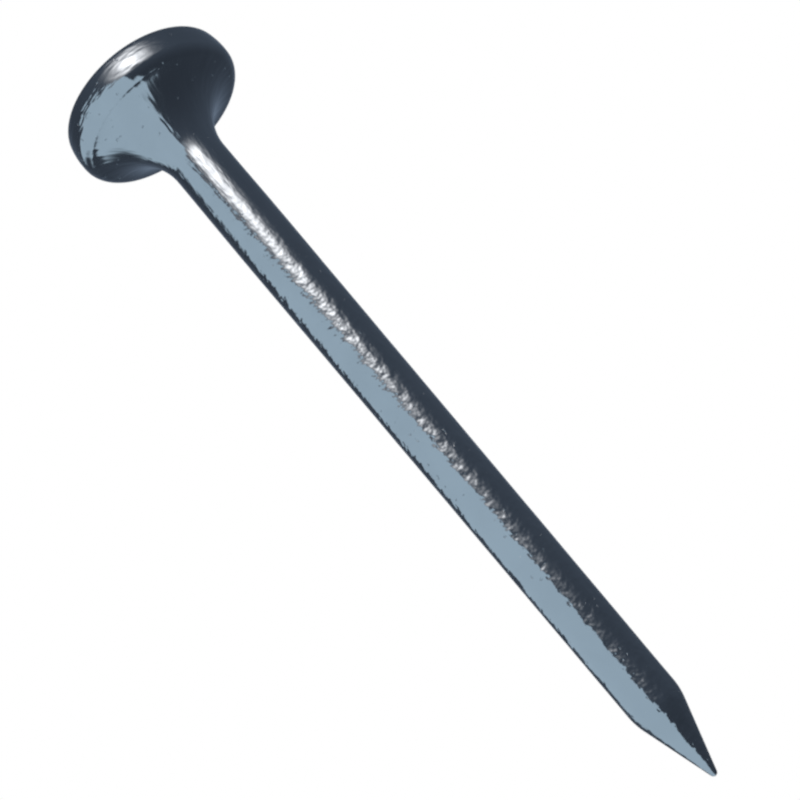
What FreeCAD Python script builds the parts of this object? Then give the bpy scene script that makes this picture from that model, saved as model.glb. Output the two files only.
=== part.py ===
# Rail spike: one steel forging, a round-headed drive spike for wooden railway sleepers.
# The axis is +Z, with the point down. The origin is on the axis where the shank ends and the flare
# under the head begins. All sizes are in millimetres.
import FreeCAD, Part
import math
import os

# Length
SPIKE_LENGTH = 165.1            # 6 1/2 in, from the crown of the head to the tip

# Shank: straight where it passes through a plate, then drawn down slightly to the shoulder
SHANK_DIAMETER = 11.5
STRAIGHT_LENGTH = 20.0
SHOULDER_DIAMETER = 10.0

# Point
POINT_LENGTH = 14.3             # cone, from the tip to the shoulder
TIP_RADIUS = 0.7                # the very end is a small ball
SHOULDER_RADIUS = 12.0          # rounding where the cone meets the shank

# Head
HEAD_DIAMETER = 36.1
FLARE_RADIUS = 12.5             # concave arc that starts tangent to the shank
BULGE_RADIUS = 12.5             # the rim is barrel-shaped, from being upset
BULGE_HEIGHT = 15.4             # where the rim is widest, above the origin
CROWN_BASE_HEIGHT = 19.6        # where the crown's arc would reach the head's full radius
CROWN_TOP = 20.5                # middle of the struck face
RIM_LOWER_RADIUS = 2.2          # rounding between flare and rim
RIM_UPPER_RADIUS = 2.0          # rounding between rim and crown

# Worked out from the sizes above
SHANK_RADIUS = SHANK_DIAMETER / 2
SHOULDER_END_RADIUS = SHOULDER_DIAMETER / 2
HEAD_RADIUS = HEAD_DIAMETER / 2
CROWN_HEIGHT = CROWN_TOP - CROWN_BASE_HEIGHT
CROWN_RADIUS = (HEAD_RADIUS ** 2 + CROWN_HEIGHT ** 2) / (2 * CROWN_HEIGHT)
TIP_HEIGHT = CROWN_TOP - SPIKE_LENGTH
SHOULDER_HEIGHT = TIP_HEIGHT + POINT_LENGTH

MATCH = 1e-6                    # how closely an edge's circle is compared with a size


def at(radius, height):
    """A point of the half profile, which lies in the XZ plane."""
    return FreeCAD.Vector(radius, 0, height)


def line(start, end):
    return Part.LineSegment(start, end).toShape()


def arc(start, middle, end):
    return Part.Arc(start, middle, end).toShape()


def cone_slope():
    """Angle between the axis and the cone's side, which is tangent to the tip's ball."""
    rise = POINT_LENGTH - TIP_RADIUS
    reach = math.hypot(SHOULDER_END_RADIUS, rise)
    return math.atan2(SHOULDER_END_RADIUS, rise) - math.asin(TIP_RADIUS / reach)


def point_profile():
    """The ball tip and the straight side of the cone, up to the shoulder."""
    ball_height = TIP_HEIGHT + TIP_RADIUS

    def on_ball(depression):
        return at(TIP_RADIUS * math.cos(depression), ball_height - TIP_RADIUS * math.sin(depression))

    slope = cone_slope()
    tangent_point = on_ball(slope)
    middle_point = on_ball((slope + math.pi / 2) / 2)
    ball = arc(at(0, TIP_HEIGHT), middle_point, tangent_point)
    side = line(tangent_point, at(SHOULDER_END_RADIUS, SHOULDER_HEIGHT))
    return [ball, side]


def shank_profile():
    """The drawn-down length above the shoulder, then the straight length up to the origin."""
    drawn = line(at(SHOULDER_END_RADIUS, SHOULDER_HEIGHT), at(SHANK_RADIUS, -STRAIGHT_LENGTH))
    straight = line(at(SHANK_RADIUS, -STRAIGHT_LENGTH), at(SHANK_RADIUS, 0))
    return [drawn, straight]


def around(centre, radius, angle):
    """A point of a circle in the half profile, by the slope of its normal above the horizontal."""
    return at(centre[0] + radius * math.cos(angle), centre[1] + radius * math.sin(angle))


def outer_crossing(first, first_radius, second, second_radius):
    """Of the two points where two circles cross, the one that is further from the axis."""
    across, rise = second[0] - first[0], second[1] - first[1]
    gap = math.hypot(across, rise)
    along = (first_radius ** 2 - second_radius ** 2 + gap ** 2) / (2 * gap)
    half_chord = math.sqrt(first_radius ** 2 - along ** 2)
    middle = (first[0] + along * across / gap, first[1] + along * rise / gap)
    aside = (half_chord * rise / gap, -half_chord * across / gap)
    crossings = [(middle[0] + side * aside[0], middle[1] + side * aside[1]) for side in (1, -1)]
    return max(crossings)


FLARE_CENTRE = (SHANK_RADIUS + FLARE_RADIUS, 0.0)
BULGE_CENTRE = (HEAD_RADIUS - BULGE_RADIUS, BULGE_HEIGHT)
CROWN_CENTRE = (0.0, CROWN_TOP - CROWN_RADIUS)
LOWER_CORNER = outer_crossing(FLARE_CENTRE, FLARE_RADIUS, BULGE_CENTRE, BULGE_RADIUS)
UPPER_CORNER = outer_crossing(BULGE_CENTRE, BULGE_RADIUS, CROWN_CENTRE, CROWN_RADIUS)


def slope_from(centre, point):
    return math.atan2(point[1] - centre[1], point[0] - centre[0])


def head_profile():
    """The flare under the head, the barrel-shaped rim and the shallow crown of the struck face."""
    flare_end = math.pi - slope_from(FLARE_CENTRE, LOWER_CORNER)
    flare = arc(at(SHANK_RADIUS, 0), around(FLARE_CENTRE, FLARE_RADIUS, math.pi - flare_end / 2),
                at(*LOWER_CORNER))
    bulge = arc(at(*LOWER_CORNER), around(BULGE_CENTRE, BULGE_RADIUS, 0), at(*UPPER_CORNER))
    crown_start = slope_from(CROWN_CENTRE, UPPER_CORNER)
    crown_middle = around(CROWN_CENTRE, CROWN_RADIUS, (crown_start + math.pi / 2) / 2)
    crown = arc(at(*UPPER_CORNER), crown_middle, at(0, CROWN_TOP))
    return [flare, bulge, crown]


def ring_edges(solid, radius, height):
    """The circular edges of a solid of revolution that have this radius and height."""
    rings = []
    for edge in solid.Edges:
        if edge.Degenerated or not isinstance(edge.Curve, Part.Circle):
            continue
        same_radius = abs(edge.Curve.Radius - radius) < MATCH
        same_height = abs(edge.Curve.Center.z - height) < MATCH
        if same_radius and same_height:
            rings.append(edge)
    return rings


def spike():
    """The whole forging, turned from its half profile, with its three corners rounded."""
    axis = line(at(0, CROWN_TOP), at(0, TIP_HEIGHT))
    profile = Part.Wire(point_profile() + shank_profile() + head_profile() + [axis])
    solid = Part.Face(profile).revolve(at(0, 0), FreeCAD.Vector(0, 0, 1), 360)
    corners = [
        (SHOULDER_RADIUS, SHOULDER_END_RADIUS, SHOULDER_HEIGHT),
        (RIM_LOWER_RADIUS, *LOWER_CORNER),
        (RIM_UPPER_RADIUS, *UPPER_CORNER),
    ]
    for rounding, radius, height in corners:
        solid = solid.makeFillet(rounding, ring_edges(solid, radius, height))
    return solid


os.makedirs("parts", exist_ok=True)
spike().exportStep("parts/spike.step")
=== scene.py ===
"""Looks for the rail spike: one polished steel forging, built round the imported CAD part.

Everything is in metres, in the CAD frame: the axis is Z, the point is down, and the origin is where
the shank ends and the flare under the head begins.
"""
import math

import bpy
from mathutils import Matrix, Vector, noise


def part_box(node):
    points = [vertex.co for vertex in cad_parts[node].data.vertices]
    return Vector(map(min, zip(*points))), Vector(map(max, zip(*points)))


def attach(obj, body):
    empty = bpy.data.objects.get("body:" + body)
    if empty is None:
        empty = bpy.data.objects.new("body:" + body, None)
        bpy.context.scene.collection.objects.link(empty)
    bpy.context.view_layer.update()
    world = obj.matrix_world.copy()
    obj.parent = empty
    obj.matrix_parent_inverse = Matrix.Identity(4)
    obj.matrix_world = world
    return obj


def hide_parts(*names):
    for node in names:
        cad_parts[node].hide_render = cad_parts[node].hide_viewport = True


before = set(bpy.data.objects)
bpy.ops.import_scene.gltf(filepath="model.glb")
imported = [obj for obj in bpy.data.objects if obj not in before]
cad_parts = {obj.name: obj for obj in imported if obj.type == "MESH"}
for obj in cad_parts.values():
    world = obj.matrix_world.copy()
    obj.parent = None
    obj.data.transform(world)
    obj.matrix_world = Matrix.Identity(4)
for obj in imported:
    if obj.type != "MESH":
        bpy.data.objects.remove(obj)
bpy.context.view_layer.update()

MM = 0.001

# ---------------------------------------------------------------------------
# The spike's sizes, in millimetres. Its overall height comes from the CAD node.
# ---------------------------------------------------------------------------
node_low, node_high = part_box("spike")
CROWN_TOP = node_high.z / MM
TIP_HEIGHT = node_low.z / MM
SHANK_RADIUS = 5.75
SHOULDER_END_RADIUS = 5.0
STRAIGHT_LENGTH = 20.0
POINT_LENGTH = 14.3
TIP_RADIUS = 0.7
SHOULDER_RADIUS = 12.0
HEAD_RADIUS = 18.05
FLARE_RADIUS = 12.5
BULGE_RADIUS = 12.5
BULGE_HEIGHT = 15.4
CROWN_BASE_HEIGHT = 19.6
RIM_LOWER_RADIUS = 2.2
RIM_UPPER_RADIUS = 2.0

COLUMNS = 168                   # mesh faces round the axis
ROW_STEP = 0.42                 # distance between mesh rows along the profile, in mm
ARC_FINENESS = 2                # arcs have this many times as many rows
FEWEST_ARC_ROWS = 4
SKIN = 0.004                    # the surface stays this far inside the CAD solid, in mm
LUMP_DEPTH = 0.012              # forging lumps, only ever inwards, in mm
LUMP_SIZE = 2.6                 # distance between lumps, in mm
WAVE_DEPTH = 0.035              # long waves left by hammering, in mm
WAVE_SIZE = 9.0                 # distance between waves, in mm
WAVE_SHIFT = Vector((7.3, 1.9, 4.1))    # so that the waves don't line up with the lumps


# ---------------------------------------------------------------------------
# Half profile: (height, radius, outward normal's height, outward normal's radius)
# ---------------------------------------------------------------------------
def run(start, end):
    """Points along a straight run, from start to end, each (height, radius)."""
    rise, reach = end[0] - start[0], end[1] - start[1]
    length = math.hypot(rise, reach)
    count = max(1, round(length / ROW_STEP))
    normal = (-reach / length, rise / length)
    return [
        (start[0] + rise * i / count, start[1] + reach * i / count, *normal)
        for i in range(count + 1)
    ]


def turn(centre, radius, first, last, outward=1):
    """Points round an arc. Angles are the normal's slope above the radial direction."""
    count = max(FEWEST_ARC_ROWS, round(abs(last - first) * radius / ROW_STEP * ARC_FINENESS))
    points = []
    for i in range(count + 1):
        angle = first + (last - first) * i / count
        up, out = math.sin(angle), math.cos(angle)
        points.append((
            centre[0] + outward * radius * up,
            centre[1] + outward * radius * out,
            up,
            out,
        ))
    return points


def outer_crossing(first, first_radius, second, second_radius):
    """Where two circles cross, on the side away from the axis, as (height, radius)."""
    rise, across = second[0] - first[0], second[1] - first[1]
    gap = math.hypot(rise, across)
    along = (first_radius ** 2 - second_radius ** 2 + gap ** 2) / (2 * gap)
    half_chord = math.sqrt(first_radius ** 2 - along ** 2)
    middle = (first[0] + along * rise / gap, first[1] + along * across / gap)
    aside = (-half_chord * across / gap, half_chord * rise / gap)
    crossings = [(middle[0] + side * aside[0], middle[1] + side * aside[1]) for side in (1, -1)]
    return max(crossings, key=lambda place: place[1])


def slope_from(centre, place):
    """The slope above the radial direction of the line from a centre to a place."""
    return math.atan2(place[0] - centre[0], place[1] - centre[1])


def half_profile():
    """The whole outline, from the tip up to the middle of the crown."""
    tip = (TIP_HEIGHT + TIP_RADIUS, 0.0)
    shoulder = (TIP_HEIGHT + POINT_LENGTH, SHOULDER_END_RADIUS)
    rise = POINT_LENGTH - TIP_RADIUS
    reach = math.hypot(SHOULDER_END_RADIUS, rise)
    slope = math.atan2(SHOULDER_END_RADIUS, rise) - math.asin(TIP_RADIUS / reach)
    ball = turn(tip, TIP_RADIUS, -math.pi / 2, -slope)

    drawn_end = (-STRAIGHT_LENGTH, SHANK_RADIUS)
    draw = math.atan2(SHANK_RADIUS - SHOULDER_END_RADIUS, drawn_end[0] - shoulder[0])
    cut = SHOULDER_RADIUS * math.tan((slope - draw) / 2)
    cone_end = (shoulder[0] - cut * math.cos(slope), shoulder[1] - cut * math.sin(slope))
    round_centre = (
        cone_end[0] + SHOULDER_RADIUS * math.sin(slope),
        cone_end[1] - SHOULDER_RADIUS * math.cos(slope),
    )
    shoulder_turn = turn(round_centre, SHOULDER_RADIUS, -slope, -draw)

    flare_centre = (0.0, SHANK_RADIUS + FLARE_RADIUS)
    bulge_centre = (BULGE_HEIGHT, HEAD_RADIUS - BULGE_RADIUS)
    crown_height = CROWN_TOP - CROWN_BASE_HEIGHT
    crown_radius = (HEAD_RADIUS ** 2 + crown_height ** 2) / (2 * crown_height)
    crown_centre = (CROWN_TOP - crown_radius, 0.0)
    lower_centre = outer_crossing(flare_centre, FLARE_RADIUS + RIM_LOWER_RADIUS,
                                  bulge_centre, BULGE_RADIUS - RIM_LOWER_RADIUS)
    upper_centre = outer_crossing(bulge_centre, BULGE_RADIUS - RIM_UPPER_RADIUS,
                                  crown_centre, crown_radius - RIM_UPPER_RADIUS)
    sweep = math.pi - slope_from(flare_centre, lower_centre)
    bulge_start = slope_from(bulge_centre, lower_centre)
    bulge_end = slope_from(bulge_centre, upper_centre)
    lift = slope_from(crown_centre, upper_centre)
    flare = turn(flare_centre, FLARE_RADIUS, 0.0, -sweep, outward=-1)
    lower = turn(lower_centre, RIM_LOWER_RADIUS, -sweep, bulge_start)
    bulge = turn(bulge_centre, BULGE_RADIUS, bulge_start, bulge_end)
    upper = turn(upper_centre, RIM_UPPER_RADIUS, bulge_end, lift)
    crown = turn(crown_centre, crown_radius, lift, math.pi / 2)

    points = ball
    for part in (
        run(ball[-1][:2], cone_end),
        shoulder_turn,
        run(shoulder_turn[-1][:2], drawn_end),
        run(drawn_end, (0.0, SHANK_RADIUS)),
        flare,
        lower,
        bulge,
        upper,
        crown,
    ):
        points = points + part[1:]
    return points


def dent(place):
    """How far the forged surface lies inside the CAD solid at a place on it, in mm."""
    lumps = 0.5 + 0.5 * noise.noise(place / LUMP_SIZE)
    waves = 0.5 + 0.5 * noise.noise(place / WAVE_SIZE + WAVE_SHIFT)
    return SKIN + LUMP_DEPTH * max(0.0, lumps) + WAVE_DEPTH * max(0.0, waves)


def spike_mesh():
    """A closed mesh of revolution with the forging's shallow lumps in its surface."""
    rows = half_profile()
    vertices = []
    for height, radius, up, out in rows[1:-1]:
        for column in range(COLUMNS):
            angle = 2 * math.pi * column / COLUMNS
            across, along = math.sin(angle), math.cos(angle)
            place = Vector((radius * across, radius * along, height))
            inwards = dent(place)
            vertices.append((
                (place.x - inwards * out * across) * MM,
                (place.y - inwards * out * along) * MM,
                (place.z - inwards * up) * MM,
            ))
    ring_count = len(rows) - 2
    faces = []
    for ring in range(ring_count - 1):
        for column in range(COLUMNS):
            beside = (column + 1) % COLUMNS
            low, high = ring * COLUMNS, (ring + 1) * COLUMNS
            faces.append((low + column, high + column, high + beside, low + beside))
    tip, crown = len(vertices), len(vertices) + 1
    vertices.append((0, 0, (TIP_HEIGHT + SKIN) * MM))
    vertices.append((0, 0, (CROWN_TOP - SKIN - LUMP_DEPTH) * MM))
    last = (ring_count - 1) * COLUMNS
    for column in range(COLUMNS):
        beside = (column + 1) % COLUMNS
        faces.append((tip, column, beside))
        faces.append((crown, last + beside, last + column))
    mesh = bpy.data.meshes.new("spike_forging")
    mesh.from_pydata(vertices, [], faces)
    mesh.validate()
    mesh.shade_smooth()
    return mesh


# ---------------------------------------------------------------------------
# Shader helpers
# ---------------------------------------------------------------------------
class Nodes:
    """Adds nodes to a tree, so that each one takes a line."""

    def __init__(self, tree):
        self.tree = tree
        tree.nodes.clear()

    def add(self, kind, inputs=None, **settings):
        node = self.tree.nodes.new("ShaderNode" + kind)
        for name, value in settings.items():
            setattr(node, name, value)
        for socket, value in (inputs or {}).items():
            if isinstance(value, bpy.types.NodeSocket):
                self.tree.links.new(value, node.inputs[socket])
            else:
                node.inputs[socket].default_value = value
        return node

    def math(self, operation, *values):
        return self.add("Math", dict(enumerate(values)), operation=operation).outputs[0]

    def dot(self, vector, direction):
        node = self.add("VectorMath", {0: vector, 1: direction}, operation="DOT_PRODUCT")
        return node.outputs["Value"]

    def scaled(self, vector, factors):
        node = self.add("VectorMath", {0: vector, 1: factors}, operation="MULTIPLY")
        return node.outputs[0]

    def noise(self, vector, scale, detail, roughness=0.5):
        inputs = {"Vector": vector, "Scale": scale, "Detail": detail, "Roughness": roughness}
        return self.add("TexNoise", inputs).outputs["Fac"]

    def ramp(self, value, low, high, to_low=0.0, to_high=1.0):
        inputs = {"Value": value, "From Min": low, "From Max": high,
                  "To Min": to_low, "To Max": to_high}
        return self.add("MapRange", inputs, interpolation_type="SMOOTHSTEP").outputs["Result"]

    def mix(self, factor, first, second):
        node = self.add("Mix", {0: factor, 6: first, 7: second}, data_type="RGBA")
        return node.outputs[2]


# ---------------------------------------------------------------------------
# Steel: bright, dark-toned, with fine hammered lumps, drawn streaks and a few small nicks
# ---------------------------------------------------------------------------
STEEL_LIGHT = (0.515, 0.525, 0.540, 1)
STEEL_DARK = (0.485, 0.495, 0.510, 1)
TONE_SCALE = 90.0               # all noise scales are cells to the metre
PATCH_SCALE = 160.0             # patches that are polished more or less
PATCH_ROUGHNESS = (0.07, 0.12)
NOISE_MIDDLE = (0.3, 0.7)       # the part of a noise's range that holds most of its values

BUMP_DEPTH = 0.00016            # what a relief of 1 stands for, in metres
SHANK_FINE_SCALE = 820.0        # round lumps
SHANK_COARSE_SCALE = 420.0
SHANK_COARSE_RELIEF = 0.6
FLARE_START = (-0.045, 0.004)   # heights between which the grain opens out into the flare
FLARE_SCALE = 700.0
FLARE_RELIEF = 0.6
GRAIN_RADIUS = 0.012            # the flare's grain is laid out as on a bar of this radius
GRAIN_DRAW = 0.55               # under 1, so that the grain is drawn out lengthwise
RIM_START = (0.0125, 0.0145)    # heights between which it turns to run round the rim
RIM_SCALE = 1000.0
RIM_RELIEF = 0.9
RIM_DRAW = (0.3, 0.3, 1.0)      # under 1 in X and Y, so that it is drawn out round the axis
NICK_SCALE = 1150.0
NICK_RANGE = (0.76, 0.81)       # only the very top of the noise makes a nick
NICK_RELIEF = 0.5
NICK_ROUGHNESS = 0.12


def forged_relief(n, place, height, nicks):
    """Lumps on the shank, lengthwise grain in the flare, grain round the rim, and nicks."""
    on_flare = n.ramp(height, *FLARE_START)
    on_rim = n.ramp(height, *RIM_START)

    coarse = n.noise(place, SHANK_COARSE_SCALE, detail=0.0)
    shank_relief = n.math("ADD", n.noise(place, SHANK_FINE_SCALE, detail=1.0),
                          n.math("MULTIPLY", coarse, SHANK_COARSE_RELIEF))

    flat = n.scaled(place, (1.0, 1.0, 0.0))
    around = n.add("VectorMath", {0: flat}, operation="NORMALIZE").outputs[0]
    round_bar = n.scaled(around, (GRAIN_RADIUS, GRAIN_RADIUS, 0.0))
    lengthwise = n.add("CombineXYZ", {"Z": n.math("MULTIPLY", height, GRAIN_DRAW)}).outputs[0]
    drawn = n.add("VectorMath", {0: round_bar, 1: lengthwise}).outputs[0]
    flare_relief = n.math("MULTIPLY", n.noise(drawn, FLARE_SCALE, detail=1.0), FLARE_RELIEF)

    rim_grain = n.noise(n.scaled(place, RIM_DRAW), RIM_SCALE, detail=1.5)
    rim_relief = n.math("MULTIPLY", rim_grain, RIM_RELIEF)

    lumps = n.add("Mix", {0: on_flare, 2: shank_relief, 3: flare_relief}).outputs[0]
    lumps = n.add("Mix", {0: on_rim, 2: lumps, 3: rim_relief}).outputs[0]
    return n.math("SUBTRACT", lumps, n.math("MULTIPLY", nicks, NICK_RELIEF))


def steel():
    material = bpy.data.materials.new("polished_steel")
    material.use_nodes = True
    n = Nodes(material.node_tree)
    place = n.add("TexCoord").outputs["Object"]
    height = n.add("SeparateXYZ", {0: place}).outputs["Z"]
    nicks = n.ramp(n.noise(place, NICK_SCALE, detail=0.5), *NICK_RANGE)
    relief = forged_relief(n, place, height, nicks)
    bump = n.add("Bump", {"Height": relief, "Distance": BUMP_DEPTH, "Strength": 1.0})

    patches = n.noise(place, PATCH_SCALE, detail=3.0)
    roughness = n.ramp(patches, *NOISE_MIDDLE, *PATCH_ROUGHNESS)
    roughness = n.math("ADD", roughness, n.math("MULTIPLY", nicks, NICK_ROUGHNESS))
    tone = n.ramp(n.noise(place, TONE_SCALE, detail=4.0, roughness=0.6), *NOISE_MIDDLE)
    colour = n.mix(tone, STEEL_DARK, STEEL_LIGHT)

    shader = n.add("BsdfPrincipled", {
        "Base Color": colour,
        "Metallic": 1.0,
        "Roughness": roughness,
        "Normal": bump.outputs["Normal"],
    })
    n.add("OutputMaterial", {"Surface": shader.outputs[0]})
    return material


# ---------------------------------------------------------------------------
# Studio: a dark room with one wide pale blue panel and one soft white lamp, seen in the steel
# ---------------------------------------------------------------------------
PANEL_EDGES = (                 # the panel is where direction . edge is over the limit for all;
    ((0.248, -0.290, 0.120), -0.3864),      # the shorter the edge's vector, the softer the edge
    ((-0.996, 0.057, -0.071), 0.008),
    ((-0.686, -0.370, -0.626), 0.305),
)
PANEL_SOFTNESS = 0.012
PANEL_COLOUR = (0.525, 0.690, 0.820, 1)
LAMP_DIRECTION = (0.178, -0.803, 0.569)
LAMP_CORE = (2.65, 22.5)        # strength and tightness
ROOM_GLOWS = (                  # direction, then strength and tightness
    (LAMP_DIRECTION, (0.05, 1.5)),              # spill from the lamp
    ((0.0, 0.0, 1.0), (0.02, 1.0)),             # ceiling
    ((0.0, 0.96, 0.29), (0.12, 6.0)),           # far wall
    ((0.90, 0.40, 0.10), (0.032, 4.0)),         # far wall, to the right
)
ROOM_LEVEL = 0.046
ROOM_COLOUR = (0.76, 0.99, 1.34)
WHITE = (1, 1, 1, 1)            # what the camera and the floor see


def glow(n, direction, towards, amount):
    """A soft round glow that is brightest in one direction. The amount is (strength, tightness)."""
    strength, tightness = amount
    offset = n.math("SUBTRACT", n.dot(direction, Vector(towards).normalized()), 1.0)
    return n.math("MULTIPLY", n.math("EXPONENT", n.math("MULTIPLY", offset, tightness)), strength)


def studio():
    """A world that is plain white to look at, and a lit room in the steel's reflections."""
    world = bpy.data.worlds.new("studio")
    world.use_nodes = True
    world.cycles.sampling_method = "NONE"
    bpy.context.scene.world = world
    n = Nodes(world.node_tree)
    direction = n.add("TexCoord").outputs["Generated"]

    inside = [n.math("SUBTRACT", n.dot(direction, edge), limit) for edge, limit in PANEL_EDGES]
    nearest = n.math("MINIMUM", n.math("MINIMUM", inside[0], inside[1]), inside[2])
    panel = n.ramp(nearest, -PANEL_SOFTNESS, PANEL_SOFTNESS)

    room = ROOM_LEVEL
    for towards, amount in ROOM_GLOWS:
        room = n.math("ADD", room, glow(n, direction, towards, amount))
    tinted = n.add("VectorMath", {0: ROOM_COLOUR, "Scale": room}, operation="SCALE").outputs[0]
    lamp = glow(n, direction, LAMP_DIRECTION, LAMP_CORE)
    lit = n.add("VectorMath", {0: tinted, 1: lamp}, operation="ADD").outputs[0]
    seen_in_steel = n.mix(panel, lit, PANEL_COLOUR)

    kind_of_ray = n.add("LightPath")
    mirror = n.math("MAXIMUM", kind_of_ray.outputs["Is Glossy Ray"],
                    kind_of_ray.outputs["Is Singular Ray"])
    not_camera = n.math("SUBTRACT", 1.0, kind_of_ray.outputs["Is Camera Ray"])
    mirror = n.math("MULTIPLY", mirror, not_camera)
    colour = n.mix(mirror, WHITE, seen_in_steel)
    background = n.add("Background", {"Color": colour, "Strength": 1.0})
    n.add("OutputWorld", {"Surface": background.outputs[0]})


FLOOR_HEIGHT = -0.30
FLOOR_SOLID_RADIUS = 0.42       # the floor is whole up to here, and has faded out at its edge
FLOOR_RADIUS = 0.70
FLOOR_FADE_END = 0.98           # of that radius
FLOOR_SIDES = 96
FLOOR_COLOUR = (0.93, 0.93, 0.93, 1)


def floor():
    """A round pale floor well under the point, which fades out before its edge."""
    angles = [2 * math.pi * i / FLOOR_SIDES for i in range(FLOOR_SIDES)]
    ring = [
        (FLOOR_RADIUS * math.cos(angle), FLOOR_RADIUS * math.sin(angle), FLOOR_HEIGHT)
        for angle in angles
    ]
    mesh = bpy.data.meshes.new("floor")
    mesh.from_pydata(ring, [], [tuple(range(FLOOR_SIDES))])
    obj = bpy.data.objects.new("floor", mesh)
    bpy.context.scene.collection.objects.link(obj)
    obj.visible_glossy = False

    material = bpy.data.materials.new("pale_floor")
    material.use_nodes = True
    n = Nodes(material.node_tree)
    place = n.scaled(n.add("TexCoord").outputs["Object"], (1.0, 1.0, 0.0))
    distance = n.add("VectorMath", {0: place}, operation="LENGTH").outputs["Value"]
    fade = n.ramp(distance, FLOOR_SOLID_RADIUS, FLOOR_RADIUS * FLOOR_FADE_END)
    pale = n.add("BsdfDiffuse", {"Color": FLOOR_COLOUR})
    clear = n.add("BsdfTransparent")
    mixed = n.add("MixShader", {0: fade, 1: pale.outputs[0], 2: clear.outputs[0]})
    n.add("OutputMaterial", {"Surface": mixed.outputs[0]})
    mesh.materials.append(material)


# ---------------------------------------------------------------------------
# Camera: a little below the level of the spike, rolled so that the point is at the lower right
# ---------------------------------------------------------------------------
AIM_HEIGHT = -0.06106           # on the axis
CAMERA_DISTANCE = 0.22962
AXIS_ANGLE = math.radians(76.18)        # between the axis and the line of sight
ROLL_COSINE, ROLL_SINE = 0.7653, 0.6437
LENS, SENSOR = 57.09, 36.0      # a field of view of 35 degrees
CLIP_RANGE = (0.01, 50.0)
FILTER_WIDTH = 2.4              # in pixels: wider than usual, for the softness of a lens


def camera():
    near, up_axis, right_axis = Vector((0, -1, 0)), Vector((0, 0, 1)), Vector((1, 0, 0))
    back = near * math.sin(AXIS_ANGLE) - up_axis * math.cos(AXIS_ANGLE)
    towards_head = up_axis * math.sin(AXIS_ANGLE) + near * math.cos(AXIS_ANGLE)
    right = right_axis * ROLL_COSINE - towards_head * ROLL_SINE
    up = towards_head * ROLL_COSINE + right_axis * ROLL_SINE
    data = bpy.data.cameras.new("camera")
    data.lens, data.sensor_width = LENS, SENSOR
    data.clip_start, data.clip_end = CLIP_RANGE
    obj = bpy.data.objects.new("camera", data)
    bpy.context.scene.collection.objects.link(obj)
    turn_matrix = Matrix((right, up, back)).transposed()
    place = Vector((0, 0, AIM_HEIGHT)) + back * CAMERA_DISTANCE
    obj.matrix_world = Matrix.Translation(place) @ turn_matrix.to_4x4()
    bpy.context.scene.camera = obj


camera()
spike = bpy.data.objects.new("spike_forging", spike_mesh())
bpy.context.scene.collection.objects.link(spike)
spike.data.materials.append(steel())
spike.visible_glossy = False    # the steel isn't seen in its own reflections
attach(spike, "root")
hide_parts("spike")
studio()
floor()
bpy.context.scene.view_settings.view_transform = "Standard"
bpy.context.scene.cycles.filter_width = FILTER_WIDTH
